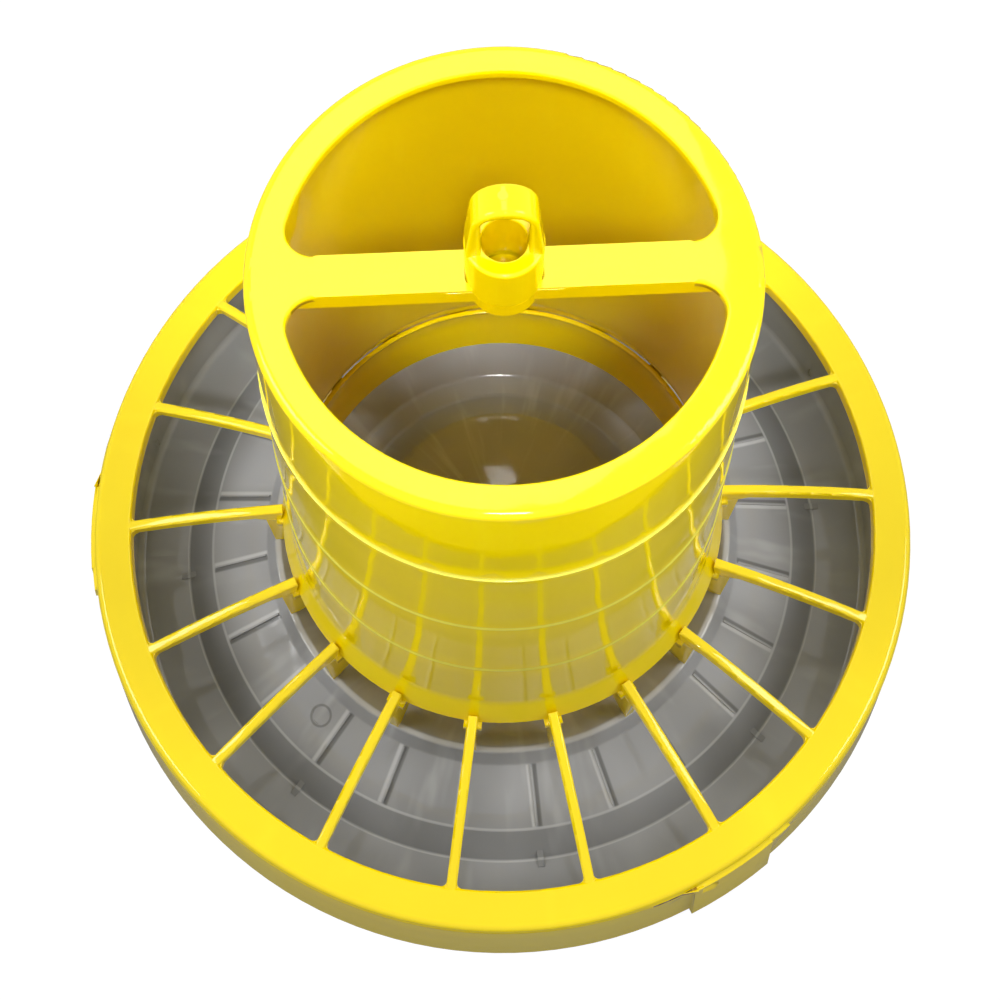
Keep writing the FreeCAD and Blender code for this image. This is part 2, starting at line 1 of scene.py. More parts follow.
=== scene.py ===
import math

import bmesh
import bpy
from mathutils import Matrix, Vector


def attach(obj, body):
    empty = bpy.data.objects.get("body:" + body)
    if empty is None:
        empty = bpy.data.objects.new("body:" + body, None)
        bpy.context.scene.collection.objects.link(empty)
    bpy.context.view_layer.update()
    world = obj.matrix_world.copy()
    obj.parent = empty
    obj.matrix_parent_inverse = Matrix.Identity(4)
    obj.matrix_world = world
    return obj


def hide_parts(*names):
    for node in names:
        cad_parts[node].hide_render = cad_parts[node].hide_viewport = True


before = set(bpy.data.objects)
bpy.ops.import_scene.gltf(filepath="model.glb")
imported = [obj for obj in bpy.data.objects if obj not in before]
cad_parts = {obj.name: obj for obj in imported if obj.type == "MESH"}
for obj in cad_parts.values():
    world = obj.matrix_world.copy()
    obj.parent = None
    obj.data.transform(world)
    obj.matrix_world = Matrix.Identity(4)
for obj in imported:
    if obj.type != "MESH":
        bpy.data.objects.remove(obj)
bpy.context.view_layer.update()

# Round hanging feeder for chicks: a yellow hopper barrel on a yellow feeding grille, with a grey
# pan below. Metres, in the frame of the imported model: the barrel's axis is Z and the crossbar lies
# along X. The camera's frame is square.

MM = 0.001

# Camera
lens = 55.30
sensor_width = 36.0
near_clip = 0.01
camera_place = Vector((-0.0095, -0.1801, 0.6205))
camera_ahead = Vector((0.01446, 0.3054, -0.9521))
camera_roll = math.radians(0.11)

# Light: a soft sky, a narrow key lamp into the barrel's mouth, and round lamps behind and at the sides
sky_low = 0.45
sky_high = 0.5
key_place = (0.0, -0.44, 1.08)
key_target = (0.0, 0.022, 0.245)
key_cone = math.radians(11.5)
key_blend = 0.8
key_size = 0.12
key_power = 76.0
back_place = (0.0, 0.67, 1.6)
back_target = (0.0, 0.0, 0.1)
back_size = 0.62
back_power = 2.2
side_across, side_along, side_height = 0.85, -0.05, 1.0
side_target = (0.0, 0.0, 0.15)
side_size = 0.6
side_power = 7.0

# Floor: its tone in the light, and the white that is mixed in where the camera or a reflection sees it
floor_reach = 3.0
floor_tone = 0.26
floor_white = 1.26
floor_share = 0.78
floor_shine = 0.02
white = (1.0, 1.0, 1.0, 1.0)

# Barrel's top edge and the ring's outer edge: radius, height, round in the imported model, worn round
barrel_top = 256.7 * MM
barrel_edge = (68.4 * MM, barrel_top, 1.5 * MM, 2.4 * MM)
ring_top = 47.2 * MM
ring_edge = (159.1 * MM, ring_top, 2.0 * MM, 2.6 * MM)
edge_slack = 0.05 * MM
edge_overhang = 0.4 * MM

# Mouth of the barrel: the edges between the lip's flat top and the two openings
mouth_edge_round = 0.9 * MM
mouth_reach = 60.0 * MM
lip_slack = 0.1 * MM
lip_flatness = 0.999
level_angle = 0.01
rim_angle = math.radians(60)

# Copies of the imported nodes
merge_gap = 0.0005 * MM
crease_angle = math.radians(24)

# Ring steps round the barrel, counted down from its top, and the zone where a highlight is painted on
# their edges.
# The painted highlight starts just under the wall's outer face.
step_first = 48.5 * MM
step_pitch = 47.3 * MM
step_count = 3
step_zone_top = barrel_top - 31.0 * MM
step_zone_low = barrel_top - step_first - (step_count - 1) * step_pitch - 5.0 * MM
step_zone_reach = 89.0 * MM
barrel_draft = 0.056
wall_shade_start = -1.2 * MM
wall_shade_full = -0.8 * MM

# Rings that shape the pan, as radii
crest_radius = 90.7 * MM
panel_edge_radius = 119.7 * MM
foot_line_radius = 130.9 * MM
slope_soft = 0.6 * MM

# Bars of the grille. Near the barrel they keep their seats, and a bar keeps its top part.
bar_inner_radius = 84.4 * MM
bar_outer_radius = 145.0 * MM
bar_inner_rise = 13.5 * MM
bar_arch = 2.0 * MM
bar_depth = 8.0 * MM
bar_depth_seen = 5.4 * MM
bar_top_depth = 0.4 * bar_depth
bar_seat_reach = 8.0 * MM
bar_slack = 1.2 * MM
ring_lip_width = 2.5 * MM

# Ribs on the pan's sloping panels, with the panel's corners as radius and height, and the round mark
rib_count = 24
rib_first = math.radians(4)
rib_width = 0.9 * MM
rib_height = 0.75 * MM
rib_side = 1.2 * MM
panel_inner = Vector((96.5 * MM, 20.4 * MM))
panel_outer = Vector((118.6 * MM, 10.0 * MM))
mark_azimuth = math.radians(224)
mark_place = 104.4 * MM
mark_radius = 4.0 * MM

# Slots on the skirt in front of the three housings, painted as dark shade, and the troughs that they
# stand in for
housing_count = 3
housing_pitch = math.tau / housing_count
housing_first = math.radians(60)
slot_start = math.radians(-12.6)
slot_end = math.radians(-6.9)
slot_end_soft = 0.002
slot_top = ring_top - 3.2 * MM
slot_top_soft = 0.4 * MM
slot_low = ring_top - 5.8 * MM
slot_low_soft = 0.5 * MM
slot_skin = 2.0 * MM
trough_top = ring_top - 2.4 * MM
trough_low = ring_top - 9.6 * MM
trough_slack = 0.01
skirt_radius = 159.5 * MM
skirt_draft = 0.148
skirt_proud = 0.05 * MM
skirt_slack = 0.2 * MM

# Gate nibs and parting line left by the moulds
nib_radius = 1.3 * MM
nib_height = 0.35 * MM
nib_sides = 20
crown_nib_off = (-0.4 * MM, 0.6 * MM)
disc_drop = 26.0 * MM
parting_radius = 0.16 * MM
parting_sides = 6
parting_drop = 1.0 * MM
parting_start = 0.8
parting_reach = 15.5 * MM
crossbar_half = 6.0 * MM

# Hub on the crossbar and the hanging eye that stands on it
hub_radius = 10.4 * MM
hub_bore = 6.0 * MM
hub_rise = 16.0 * MM
hub_foot = 1.0 * MM
hub_lip_round = 1.0 * MM
hub_sides = 64
old_eye_radius = 12.0 * MM
old_eye_foot = 0.3 * MM
eye_half_width = 10.1 * MM
eye_foot_lean = 0.8 * MM
eye_thickness = 8.8 * MM
eye_bend = 16.0 * MM
eye_bend_round = 12.0 * MM
eye_shoulder = 7.8 * MM
eye_height = 37.5 * MM
eye_crown = 3.6 * MM
eye_crown_round = 7.2 * MM
eye_window_round = 5.5 * MM
eye_edge_round = 1.3 * MM

# Colours as they look on screen: the plastics deep, plain and pale, and the shades on them: painted
# highlights, painted shade and the mould mark's dark ring
yellow_shades = ((249, 220, 0), (251, 224, 1), (253, 231, 16))
grey_shades = ((146, 147, 149), (164, 165, 168), (206, 207, 210))
# Painted highlight on the edges of the barrel's ring steps
highlight_yellow = (255, 246, 96)
# Painted shade inside the slots in the skirt
slot_shade_brown = (150, 104, 22)
shadow_grey = (84, 84, 82)
# Painted highlight on the pan's ring edges and on the ribs' lit sides
highlight_grey = (205, 206, 208)

# How strongly each shade is laid on
streak_share = 0.35
# Painted highlight on the ring steps
step_highlight_share = 0.8
# Painted shade in the slots
slot_shade_share = 0.85
# Painted shade on the pan's outer slope and channel
slope_shade_share = 0.22
channel_shade_share = 0.55
# Painted highlight on the pan's ring edges
ring_highlight_share = 0.5
# Painted highlight on each rib's lit side, and painted shade on its other side
lit_side_share = 0.7
shaded_side_share = 0.65
mark_share = 0.5

# How far a shade fades past the end of its zone
zone_soft = 1.0 * MM

# Half widths of the shaded lines: where the shade ends, and where it is full
crest_line = (1.4 * MM, 0.4 * MM)
rib_line = (1.3 * MM, 0.3 * MM)
step_line = (1.0 * MM, 0.3 * MM)
fine_line = (0.8 * MM, 0.2 * MM)
mark_line = (0.7 * MM, 0.2 * MM)

# Surface of the plastics
yellow_gloss = 0.02
yellow_wave = 0.06 * MM
grey_gloss = 0.06
grey_wave = 0.3 * MM
plastic_ior = 1.42
cloud_scale = 22.0
cloud_range = (0.3, 0.7)
cloud_dullness = 0.01
flow_round = 6.0
flow_along = 14.0
streak_scale = 1.6
streak_range = (0.52, 0.8)
scuff_scale = 420.0
scuff_range = (0.5, 0.8)
scuff_dullness = 0.04
wave_scale = 60.0


class Value:
    """One output of a node. Sums and products on it add Math nodes."""

    def __init__(self, graph, made, output=0):
        self.graph = graph
        self.made = made
        self.output = output

    @property
    def socket(self):
        return self.made.outputs[self.output]

    def out(self, output):
        """Another output of the same node."""
        return Value(self.graph, self.made, output)

    def math(self, operation, *values):
        inputs = dict(enumerate(values))
        return self.graph.node("ShaderNodeMath", {"operation": operation}, inputs)

    def __add__(self, other):
        return self.math("ADD", self, other)

    def __radd__(self, other):
        return self.math("ADD", other, self)

    def __sub__(self, other):
        return self.math("SUBTRACT", self, other)

    def __rsub__(self, other):
        return self.math("SUBTRACT", other, self)

    def __mul__(self, other):
        return self.math("MULTIPLY", self, other)

    def __rmul__(self, other):
        return self.math("MULTIPLY", other, self)

    def __truediv__(self, other):
        return self.math("DIVIDE", self, other)

    def __rtruediv__(self, other):
        return self.math("DIVIDE", other, self)

    def root(self):
        return self.math("SQRT", self)

    def without_sign(self):
        return self.math("ABSOLUTE", self)

    def whole_part(self):
        return self.math("FLOOR", self)

    def larger(self, other):
        return self.math("MAXIMUM", self, other)

    def azimuth(self, across):
        return self.math("ARCTAN2", self, across)

    def ramp(self, low, high):
        """0 below low and 1 above high, with a smooth step between, or the other way round."""
        settings = {"interpolation_type": "SMOOTHSTEP"}
        inputs = {"Value": self, "From Min": min(low, high), "From Max": max(low, high)}
        inputs["To Min"] = 0.0 if low < high else 1.0
        inputs["To Max"] = 1.0 if low < high else 0.0
        return self.graph.node("ShaderNodeMapRange", settings, inputs)

    def between(self, low, high, soft):
        """1 from low to high, and 0 past a smooth step outside each end."""
        return self.ramp(low - soft, low) * self.ramp(high + soft, high)

    def line(self, end, full):
        """1 within full of zero, and 0 past end on both sides."""
        return self.without_sign().ramp(end, full)

    def from_nearest(self, first, pitch):
        """How far the value lies past the nearest mark of an even row."""
        count = (self - first) / pitch + 0.5
        return (count - count.whole_part() - 0.5) * pitch


class Graph:
    """A node tree with one method that makes any node."""

    def __init__(self, tree):
        self.tree = tree
        self.tree.nodes.clear()

    def node(self, kind, settings=None, inputs=None):
        """Adds a node. An input is a value, a link or, where a socket takes several, a list."""
        made = self.tree.nodes.new(kind)
        for name, value in (settings or {}).items():
            setattr(made, name, value)
        for name, value in (inputs or {}).items():
            socket = made.inputs[name]
            for part in value if isinstance(value, list) else [value]:
                if isinstance(part, Value):
                    self.tree.links.new(part.socket, socket)
                else:
                    socket.default_value = part
        return Value(self, made)

    def point(self, across=0.0, along=0.0, up=0.0):
        return self.node("ShaderNodeCombineXYZ", None, {"X": across, "Y": along, "Z": up})


class Shape(Graph):
    """A Geometry Nodes tree with named sizes that makes one small piece."""

    def __init__(self, name, sizes):
        super().__init__(bpy.data.node_groups.new(name, "GeometryNodeTree"))
        self.name = name
        self.sizes = sizes
        for label in sizes:
            self.tree.interface.new_socket(label, in_out="INPUT", socket_type="NodeSocketFloat")
        self.tree.interface.new_socket("Geometry", in_out="OUTPUT", socket_type="NodeSocketGeometry")
        self.size = self.node("NodeGroupInput")

    def moved(self, geometry, place=(0, 0, 0), turn=(0, 0, 0)):
        inputs = {"Geometry": geometry, "Translation": place, "Rotation": turn}
        return self.node("GeometryNodeTransform", None, inputs)

    def on_points(self, points, shape, heading=(0, 0, 0)):
        inputs = {"Points": points, "Instance": shape, "Rotation": heading}
        return self.node("GeometryNodeInstanceOnPoints", None, inputs)

    def piece(self, geometry, finish):
        """Runs the tree once and gives the mesh that it makes as an object."""
        whole = self.node("GeometryNodeRealizeInstances", None, {"Geometry": geometry})
        dressed = self.node("GeometryNodeSetMaterial", None, {"Geometry": whole, "Material": finish})
        self.node("NodeGroupOutput", None, {"Geometry": dressed})
        maker = placed(self.name, bpy.data.meshes.new(self.name))
        modifier = maker.modifiers.new("shape", "NODES")
        modifier.node_group = self.tree
        for item in self.tree.interface.items_tree:
            if item.in_out == "INPUT":
                modifier[item.identifier] = self.sizes[item.name]
        mesh = made_mesh(maker)
        maker.modifiers.remove(modifier)
        maker.data = mesh
        return maker


class Finish(Graph):
    """A material's or a world's node tree."""

    def __init__(self, owner, result="ShaderNodeOutputMaterial"):
        owner.use_nodes = True
        super().__init__(owner.node_tree)
        self.owner = owner
        self.result = result

    def noise(self, vector, scale, detail=1.0, rough=0.5):
        inputs = {"Vector": vector, "Scale": scale, "Detail": detail, "Roughness": rough}
        return self.node("ShaderNodeTexNoise", {"noise_dimensions": "3D"}, inputs)

    def mix(self, factor, first, second):
        settings = {"data_type": "RGBA", "clamp_factor": True}
        return self.node("ShaderNodeMix", settings, {0: factor, 6: first, 7: second}).out(2)

    def bump(self, height, distance):
        inputs = {"Height": height, "Distance": distance, "Strength": 1.0}
        return self.node("ShaderNodeBump", None, inputs)

    def finished(self, surface):
        self.node(self.result, None, {"Surface": surface})
        return self.owner


class Spot:
    """Where a point of a moulding lies: its place, and its radius and azimuth round the axis."""

    def __init__(self, finish):
        self.place = finish.node("ShaderNodeTexCoord").out("Object")
        parts = finish.node("ShaderNodeSeparateXYZ", None, {0: self.place})
        self.x, self.y, self.z = parts.out("X"), parts.out("Y"), parts.out("Z")
        self.radius = (self.x * self.x + self.y * self.y).root()
        self.turn = self.y.azimuth(self.x)


def made_mesh(holder):
    """The mesh that an object's modifiers or curve give."""
    return bpy.data.meshes.new_from_object(holder.evaluated_get(bpy.context.evaluated_depsgraph_get()))


def placed(name, data):
    """Puts a mesh, curve, lamp or camera into the scene."""
    holder = bpy.data.objects.new(name, data)
    bpy.context.scene.collection.objects.link(holder)
    return holder


def linear(shade):
    """A colour given as it looks on screen, 0 to 255."""
    parts = []
    for part in shade:
        share = part / 255
        parts.append(share / 12.92 if share <= 0.04045 else ((share + 0.055) / 1.055) ** 2.4)
    return (*parts, 1.0)


def near_ribs(spot, side):
    """1 in a narrow strip beside each rib of the panels, at a distance side from the rib's middle."""
    gap = spot.turn.from_nearest(rib_first, math.tau / rib_count) * spot.radius - side
    return gap.line(*rib_line) * spot.radius.between(panel_inner.x, panel_outer.x, zone_soft)


def on_mark(spot):
    """1 on the rim of the round mould mark in one panel."""
    over = spot.x - mark_place * math.cos(mark_azimuth)
    along = spot.y - mark_place * math.sin(mark_azimuth)
    return ((over * over + along * along).root() - mark_radius).line(*mark_line)


def step_highlights(spot):
    """Painted highlight: 1 on the edges of the ring steps round the barrel's outside."""
    gap = spot.z.from_nearest(barrel_top - step_first, step_pitch)
    wall = barrel_edge[0] + (barrel_top - spot.z) * barrel_draft
    outside = (spot.radius - wall).ramp(wall_shade_start, wall_shade_full)
    near_axis = spot.radius.ramp(step_zone_reach + zone_soft, step_zone_reach)
    within = spot.z.between(step_zone_low, step_zone_top, zone_soft) * outside * near_axis
    return gap.line(*step_line) * within


def ring_highlights(spot):
    """Painted highlight: 1 on the narrow edges that ring the pan."""
    crest = (spot.radius - crest_radius).line(*crest_line)
    panel = (spot.radius - panel_edge_radius).line(*fine_line)
    foot = (spot.radius - foot_line_radius).line(*fine_line)
    return crest.larger(panel).larger(foot)


def outer_slope_shade(spot):
    """Painted shade: 1 on the pan's steep slope and less in the channel outside it."""
    outside = spot.radius.ramp(panel_edge_radius, panel_edge_radius + slope_soft)
    slope = spot.radius.ramp(foot_line_radius + slope_soft, foot_line_radius)
    return outside * (channel_shade_share + (1 - channel_shade_share) * slope)


def in_slot_shade(spot):
    """Painted shade: 1 on the skirt where the shade of thin slots under the ring's edge is laid, in
    front of the housings.
    """
    off = spot.turn.from_nearest(housing_first, housing_pitch)
    across = off.between(slot_start + slot_end_soft, slot_end - slot_end_soft, slot_end_soft)
    above = spot.z.ramp(slot_low, slot_low + slot_low_soft)
    below = spot.z.ramp(slot_top, slot_top - slot_top_soft)
    skin = spot.radius.ramp(skirt_radius - slot_skin, skirt_radius - slot_skin / 2)
    return across * above * below * skin


def yellow_painted_light(finish, spot, shade):
    """Painted highlights on the ring steps round the barrel, and painted shade of the slots in the
    skirt.
    """
    # Painted highlight along the edges of the ring steps
    shade = finish.mix(step_highlights(spot) * step_highlight_share, shade, linear(highlight_yellow))
    # Painted dark shade where the skirt's slots would be
    return finish.mix(in_slot_shade(spot) * slot_shade_share, shade, linear(slot_shade_brown))


def grey_marks_and_painted_light(finish, spot, shade):
    """Painted shade on the outer slope, painted highlights on the edges, a painted lit and a painted
    shaded side on each rib, and the round mark.
    """
    dark, light = linear(shadow_grey), linear(highlight_grey)
    # Painted shade on the outer slope and the channel
    shade = finish.mix(outer_slope_shade(spot) * slope_shade_share, shade, dark)
    # Painted highlight on the pan's ring edges
    shade = finish.mix(ring_highlights(spot) * ring_highlight_share, shade, light)
    # Painted highlight on each rib's lit side
    shade = finish.mix(near_ribs(spot, -rib_side) * lit_side_share, shade, light)
    # Painted shade on each rib's shaded side
    shade = finish.mix(near_ribs(spot, rib_side) * shaded_side_share, shade, dark)
    return finish.mix(on_mark(spot) * mark_share, shade, dark)


def moulded_plastic(name, shades, painted_light_and_marks, gloss, wave):
    """Glossy plastic: soft clouds and long flow streaks of colour, fine scuffs and faint waves."""
    finish = Finish(bpy.data.materials.new(name))
    spot = Spot(finish)
    deep, plain, pale = [linear(shade) for shade in shades]
    clouds = finish.noise(spot.place, cloud_scale)
    flow = finish.point(spot.turn * flow_round, spot.radius * flow_along, spot.z * flow_along)
    streaks = finish.noise(flow, streak_scale, detail=2.0, rough=0.6)
    shade = finish.mix(clouds.ramp(*cloud_range), deep, plain)
    shade = finish.mix(streaks.ramp(*streak_range) * streak_share, shade, pale)
    scuffs = finish.noise(spot.place, scuff_scale, rough=0.65)
    inputs = {
        "Base Color": painted_light_and_marks(finish, spot, shade),
        "Roughness": gloss + scuff_dullness * scuffs.ramp(*scuff_range) + cloud_dullness * clouds,
        "Normal": finish.bump(finish.noise(spot.place, wave_scale), wave),
        "IOR": plastic_ior,
    }
    return finish.finished(finish.node("ShaderNodeBsdfPrincipled", None, inputs))


def rounded_outline(corners, steps=6):
    """Points of a closed outline. Each corner is (across, up, round), and steps divide each round."""
    points = []
    for index, (across, up, size) in enumerate(corners):
        corner = Vector((across, up))
        if size == 0:
            points.append(corner)
            continue
        before = Vector(corners[index - 1][:2]) - corner
        after = Vector(corners[(index + 1) % len(corners)][:2]) - corner
        before.normalize()
        after.normalize()
        half = before.angle(after) / 2
        middle = corner + (before + after).normalized() * size / math.sin(half)
        start = corner + before * size / math.tan(half) - middle
        end = corner + after * size / math.tan(half) - middle
        turn = start.angle_signed(end)
        for step in range(steps + 1):
            share = turn * step / steps
            cosine, sine = math.cos(-share), math.sin(-share)
            arm = Vector((start.x * cosine - start.y * sine, start.x * sine + start.y * cosine))
            points.append(middle + arm)
    return points


def from_axis(place):
    return math.hypot(place.x, place.y)


def move_out(vert, radius):
    """Moves a point straight out from the axis, or in, to a radius."""
    across = from_axis(vert.co)
    vert.co.x *= radius / across
    vert.co.y *= radius / across


def enlarge_round(form, edge):
    """Makes a moulded edge rounder by drawing its points away from the sharp corner."""
    radius, height, old, new = edge
    for vert in form.verts:
        inward, down = radius - from_axis(vert.co), height - vert.co.z
        if -edge_overhang < inward < old + edge_slack and -edge_slack < down < old + edge_slack:
            move_out(vert, radius - inward * new / old)
            vert.co.z = height - down * new / old


def thin_bars(form):
    """Raises the undersides of the bars and of the ring's inner lip."""
    thinned = (bar_depth_seen - bar_top_depth) / (bar_depth - bar_top_depth)
    for vert in form.verts:
        across = from_axis(vert.co)
        if not bar_inner_radius + bar_seat_reach < across < bar_outer_radius + ring_lip_width:
            continue
        share = max(0.0, (bar_outer_radius - across) / (bar_outer_radius - bar_inner_radius))
        top = ring_top + bar_inner_rise * share + 4 * bar_arch * share * (1 - share)
        depth = top - vert.co.z
        if bar_top_depth < depth < bar_depth + bar_slack:
            vert.co.z = top - bar_top_depth - (depth - bar_top_depth) * thinned


def close_troughs(form):
    """Draws the small troughs in front of the housings back into the skirt."""
    for vert in form.verts:
        turn = math.atan2(vert.co.y, vert.co.x) - housing_first + housing_pitch / 2
        turn = turn % housing_pitch - housing_pitch / 2
        beside = slot_start - trough_slack < turn < slot_end
        if beside and trough_low < vert.co.z < trough_top:
            if from_axis(vert.co) > skirt_radius - skirt_slack:
                move_out(vert, skirt_radius + skirt_draft * (ring_top - vert.co.z) + skirt_proud)


def hub_form(form):
    """Short tube with soft lips, turned round the barrel's axis."""
    corners = [
        (hub_bore, barrel_top - hub_foot, 0),
        (hub_radius, barrel_top - hub_foot, 0),
        (hub_radius, barrel_top + hub_rise, hub_lip_round),
        (hub_bore, barrel_top + hub_rise, hub_lip_round / 2),
    ]
    outline = [form.verts.new((point.x, 0, point.y)) for point in rounded_outline(corners)]
    edges = [form.edges.new((outline[index - 1], vert)) for index, vert in enumerate(outline)]
    whole = {"steps": hub_sides, "angle": math.tau, "axis": (0, 0, 1), "cent": (0, 0, 0)}
    bmesh.ops.spin(form, geom=outline + edges, use_merge=True, **whole)


def eye_form():
    """Upright rounded plate with leaning legs and a window for the hanging cord.

    Its outline is drawn inside the true edges by their round, which the curve's bevel adds again.
    """
    inset = eye_edge_round
    low, bend, crown = barrel_top + hub_foot, barrel_top + eye_bend, barrel_top + eye_height
    side, shoulder, half = eye_half_width - inset, eye_shoulder - inset, hub_bore + inset
    corners = [
        (-side + eye_foot_lean, low, 0),
        (-half, low, 0),
        (-half, crown - eye_crown + inset, eye_window_round),
        (half, crown - eye_crown + inset, eye_window_round),
        (half, low, 0),
        (side - eye_foot_lean, low, 0),
        (side, bend, eye_bend_round),
        (shoulder, crown - inset, eye_crown_round),
        (-shoulder, crown - inset, eye_crown_round),
        (-side, bend, eye_bend_round),
    ]
    curve = bpy.data.curves.new("eye", "CURVE")
    curve.dimensions = "2D"
    curve.fill_mode = "BOTH"
    curve.extrude = eye_thickness / 2 - eye_edge_round
    curve.bevel_depth = eye_edge_round
    curve.bevel_resolution = 3
    points = rounded_outline(corners, 8)
    spline = curve.splines.new("POLY")
    spline.points.add(len(points) - 1)
    for place, point in zip(spline.points, points):
        place.co = (point.x, point.y, 0, 1)
    spline.use_cyclic_u = True
    holder = placed("eye", curve)
    mesh = made_mesh(holder)
    bpy.data.objects.remove(holder)
    mesh.transform(Matrix.Rotation(math.radians(90), 4, "X"))
    return mesh


def new_eye(form):
    """Takes the eye above the crossbar off the copy and puts the rounder one there."""
    near = []
    for face in form.faces:
        middle = face.calc_center_median()
        if from_axis(middle) < old_eye_radius and middle.z > barrel_top + old_eye_foot:
            near.append(face)
    bmesh.ops.delete(form, geom=near, context="FACES")
    hub_form(form)
    mesh = eye_form()
    form.from_mesh(mesh)
    bpy.data.meshes.remove(mesh)


def soften_mouth(form):
    """Rounds the edges between the lip's flat top and the two openings."""
    inside = {}
    for face in form.faces:
        level = abs(face.calc_center_median().z - barrel_top) < lip_slack
        if level and face.normal.z > lip_flatness:
            inside.update(dict.fromkeys(face.edges))
    joined = [edge for edge in inside if edge.is_manifold and edge.calc_face_angle(1.0) < level_angle]
    bmesh.ops.dissolve_edges(form, edges=joined, use_verts=True, use_face_split=False)
    rims = []
    for edge in form.edges:
        if not edge.is_manifold or edge.calc_face_angle(0.0) < rim_angle:
            continue
        level = max(abs(vert.co.z - barrel_top) for vert in edge.verts) < lip_slack
        reach = [from_axis(vert.co) for vert in edge.verts]
        if level and max(reach) < mouth_reach and min(reach) > hub_radius:
            rims.append(edge)
    bmesh.ops.bevel(form, geom=rims, offset=mouth_edge_round, segments=3, profile=0.5, affect="EDGES")


def smooth_copy(node):
    """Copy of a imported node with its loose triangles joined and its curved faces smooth."""
    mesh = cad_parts[node].data.copy()
    form = bmesh.new()
    form.from_mesh(mesh)
    bmesh.ops.remove_doubles(form, verts=form.verts, dist=merge_gap)
    if node == "hopper_barrel":
        enlarge_round(form, barrel_edge)
        new_eye(form)
        soften_mouth(form)
    if node == "feeding_grille":
        enlarge_round(form, ring_edge)
        close_troughs(form)
        thin_bars(form)
    form.to_mesh(mesh)
    form.free()
    mesh.shade_smooth()
    mesh.set_sharp_from_angle(angle=crease_angle)
    piece = placed(node + "_finished", mesh)
    weighted = piece.modifiers.new("even_faces", "WEIGHTED_NORMAL")
    weighted.keep_sharp = True
    return piece


def pan_ribs(finish):
    """Fine radial ribs, one shape on points round the pan, laid along the panels' slope."""
    run = panel_outer - panel_inner
    middle = (panel_inner + panel_outer) / 2
    sizes = {
        "Count": rib_count,
        "Length": run.length,
        "Width": rib_width,
        "Height": rib_height,
        "Radius": middle.x,
        "Level": middle.y,
        "Slope": math.atan2(-run.y, run.x),
        "First": rib_first,
    }
    tree = Shape("pan_ribs", sizes)
    size = tree.size
    circle = {"Vertices": size.out("Count"), "Radius": size.out("Radius")}
    round_line = tree.node("GeometryNodeMeshCircle", None, circle)
    bar_size = tree.point(size.out("Length"), size.out("Width"), size.out("Height"))
    bar = tree.node("GeometryNodeMeshCube", None, {"Size": bar_size})
    number = tree.node("GeometryNodeInputIndex")
    heading = tree.point(up=number * math.tau / size.out("Count"), along=size.out("Slope"))
    ribs = tree.on_points(round_line, bar, heading)
    place, turned = tree.point(up=size.out("Level")), tree.point(up=size.out("First"))
    return tree.piece(tree.moved(ribs, place, turned), finish)


def gate_nib(name, finish, place):
    """Low round mark where the plastic ran into the mould."""
    tree = Shape(name, {"Radius": nib_radius, "Height": nib_height})
    shape = {"Vertices": nib_sides, "Radius": tree.size.out("Radius"), "Depth": tree.size.out("Height")}
    nib = tree.node("GeometryNodeMeshCylinder", None, shape)
    middle = tree.moved(tree.node("GeometryNodePoints", None, {"Count": 1}), place)
    return tree.piece(tree.on_points(middle, nib), finish)


def parting_line(finish):
    """Fine ridge that follows the crossbar's front side up to the hub."""
    sizes = {"Radius": parting_radius, "Front": -crossbar_half, "Level": barrel_top - parting_drop}
    tree = Shape("parting_line", sizes)
    level, front = tree.size.out("Level"), tree.size.out("Front")
    runs = []
    for side in (-1, 1):
        start = tree.point(side * hub_radius * parting_start, front, level)
        end = tree.point(side * parting_reach, front, level)
        runs.append(tree.node("GeometryNodeCurvePrimitiveLine", None, {"Start": start, "End": end}))
    both = tree.node("GeometryNodeJoinGeometry", None, {"Geometry": runs})
    circle = {"Resolution": parting_sides, "Radius": tree.size.out("Radius")}
    bead = tree.node("GeometryNodeCurvePrimitiveCircle", None, circle)
    inputs = {"Curve": both, "Profile Curve": bead, "Fill Caps": True}
    return tree.piece(tree.node("GeometryNodeCurveToMesh", None, inputs), finish)


def pale_floor():
    """Plain floor. The camera sees it nearly white, with the object's shadow on it."""
    mesh = bpy.data.meshes.new("floor")
    reach = floor_reach
    corners = [(-reach, -reach, 0), (reach, -reach, 0), (reach, reach, 0), (-reach, reach, 0)]
    mesh.from_pydata(corners, [], [(0, 1, 2, 3)])
    floor = placed("floor", mesh)
    finish = Finish(bpy.data.materials.new("pale_floor"))
    paths = finish.node("ShaderNodeLightPath")
    seen = paths.out("Is Camera Ray").larger(paths.out("Is Transmission Ray"))
    seen = seen.larger(paths.out("Is Glossy Ray") * floor_shine)
    tone = (floor_tone, floor_tone, floor_tone, 1.0)
    shade = finish.node("ShaderNodeBsdfDiffuse", None, {"Color": tone})
    glow = finish.node("ShaderNodeEmission", None, {"Color": white, "Strength": floor_white})
    surface = finish.node("ShaderNodeMixShader", None, {0: seen * floor_share, 1: shade, 2: glow})
    mesh.materials.append(finish.finished(surface))


def sky():
    """White to the camera and in reflections, and a soft light from above for the rest."""
    world = bpy.data.worlds.new("studio")
    bpy.context.scene.world = world
    finish = Finish(world, "ShaderNodeOutputWorld")
    vector = finish.node("ShaderNodeTexCoord").out("Generated")
    height = finish.node("ShaderNodeSeparateXYZ", None, {0: vector}).out("Z")
    level = sky_low + (sky_high - sky_low) * height.ramp(0.0, 1.0)
    light = finish.node("ShaderNodeBackground", None, {"Color": white, "Strength": level})
    seen = finish.node("ShaderNodeBackground", None, {"Color": white, "Strength": 1.0})
    paths = finish.node("ShaderNodeLightPath")
    shown = paths.out("Is Camera Ray").larger(paths.out("Is Glossy Ray"))
    shown = shown.larger(paths.out("Is Transmission Ray"))
    finish.finished(finish.node("ShaderNodeMixShader", None, {0: shown, 1: light, 2: seen}))


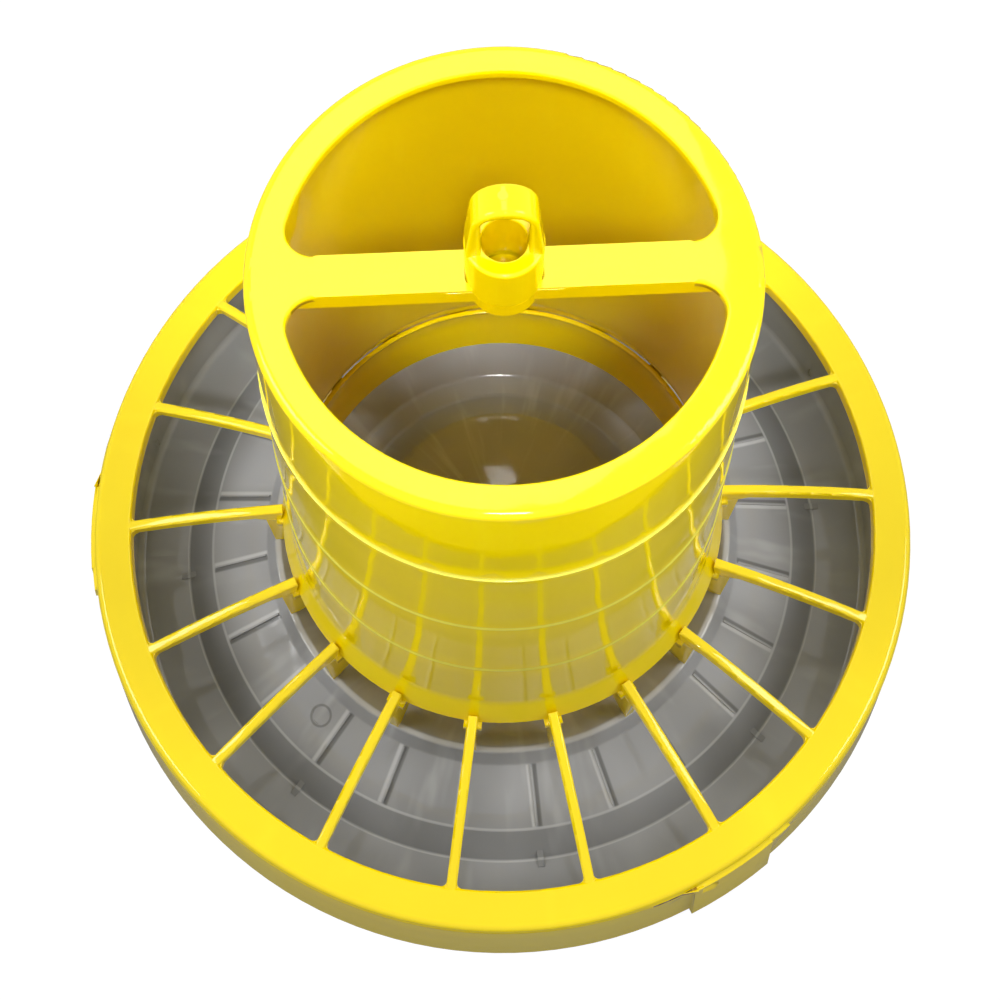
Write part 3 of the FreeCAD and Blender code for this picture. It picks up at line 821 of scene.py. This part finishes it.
def hang_lamp(light, place, target):
    """Hangs a lamp at a place and turns it to its target."""
    holder = placed(light.name, light)
    holder.location = place
    aim = Vector(target) - Vector(place)
    holder.rotation_euler = aim.to_track_quat("-Z", "Y").to_euler()


def round_lamp(name, place, target, size, power):
    light = bpy.data.lights.new(name, "AREA")
    light.shape = "DISK"
    light.size = size
    light.energy = power
    hang_lamp(light, place, target)


def key_lamp():
    """Narrow lamp that shines into the barrel's mouth."""
    light = bpy.data.lights.new("key", "SPOT")
    light.spot_size = key_cone
    light.spot_blend = key_blend
    light.shadow_soft_size = key_size
    light.energy = key_power
    hang_lamp(light, key_place, key_target)


def camera():
    ahead = camera_ahead.normalized()
    right = ahead.cross(Vector((0, 0, 1))).normalized()
    up = right.cross(ahead)
    turned_right = right * math.cos(camera_roll) + up * math.sin(camera_roll)
    turned_up = up * math.cos(camera_roll) - right * math.sin(camera_roll)
    data = bpy.data.cameras.new("camera")
    data.lens = lens
    data.sensor_width = sensor_width
    data.sensor_fit = "HORIZONTAL"
    data.clip_start = near_clip
    holder = placed("camera", data)
    axes = Matrix((turned_right, turned_up, -ahead)).transposed().to_4x4()
    holder.matrix_world = Matrix.Translation(camera_place) @ axes
    bpy.context.scene.camera = holder


yellow = moulded_plastic("yellow_moulding", yellow_shades, yellow_painted_light, yellow_gloss, yellow_wave)
grey = moulded_plastic("grey_moulding", grey_shades, grey_marks_and_painted_light, grey_gloss, grey_wave)

for node, finish, slot in (
    ("hopper_barrel", yellow, "yellow_plastic"),
    ("feeding_grille", yellow, "yellow_plastic"),
    ("feed_pan", grey, "grey_plastic"),
):
    piece = smooth_copy(node)
    piece.data.materials.clear()
    piece.data.materials.append(finish)
    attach(piece, "root")
    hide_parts(node)

crown_place = (*crown_nib_off, barrel_top + eye_height)
disc_place = (0.0, 0.0, ring_top - disc_drop)
for piece, slot in (
    (pan_ribs(grey), "grey_plastic"),
    (gate_nib("crown_nib", yellow, crown_place), "yellow_plastic"),
    (gate_nib("disc_nib", grey, disc_place), "grey_plastic"),
    (parting_line(yellow), "yellow_plastic"),
):
    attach(piece, "root")

pale_floor()
sky()
key_lamp()
round_lamp("back", back_place, back_target, back_size, back_power)
for name, side in (("left", -1), ("right", 1)):
    place = (side * side_across, side_along, side_height)
    round_lamp(name, place, side_target, side_size, side_power)
camera()
bpy.context.scene.view_settings.view_transform = "Standard"
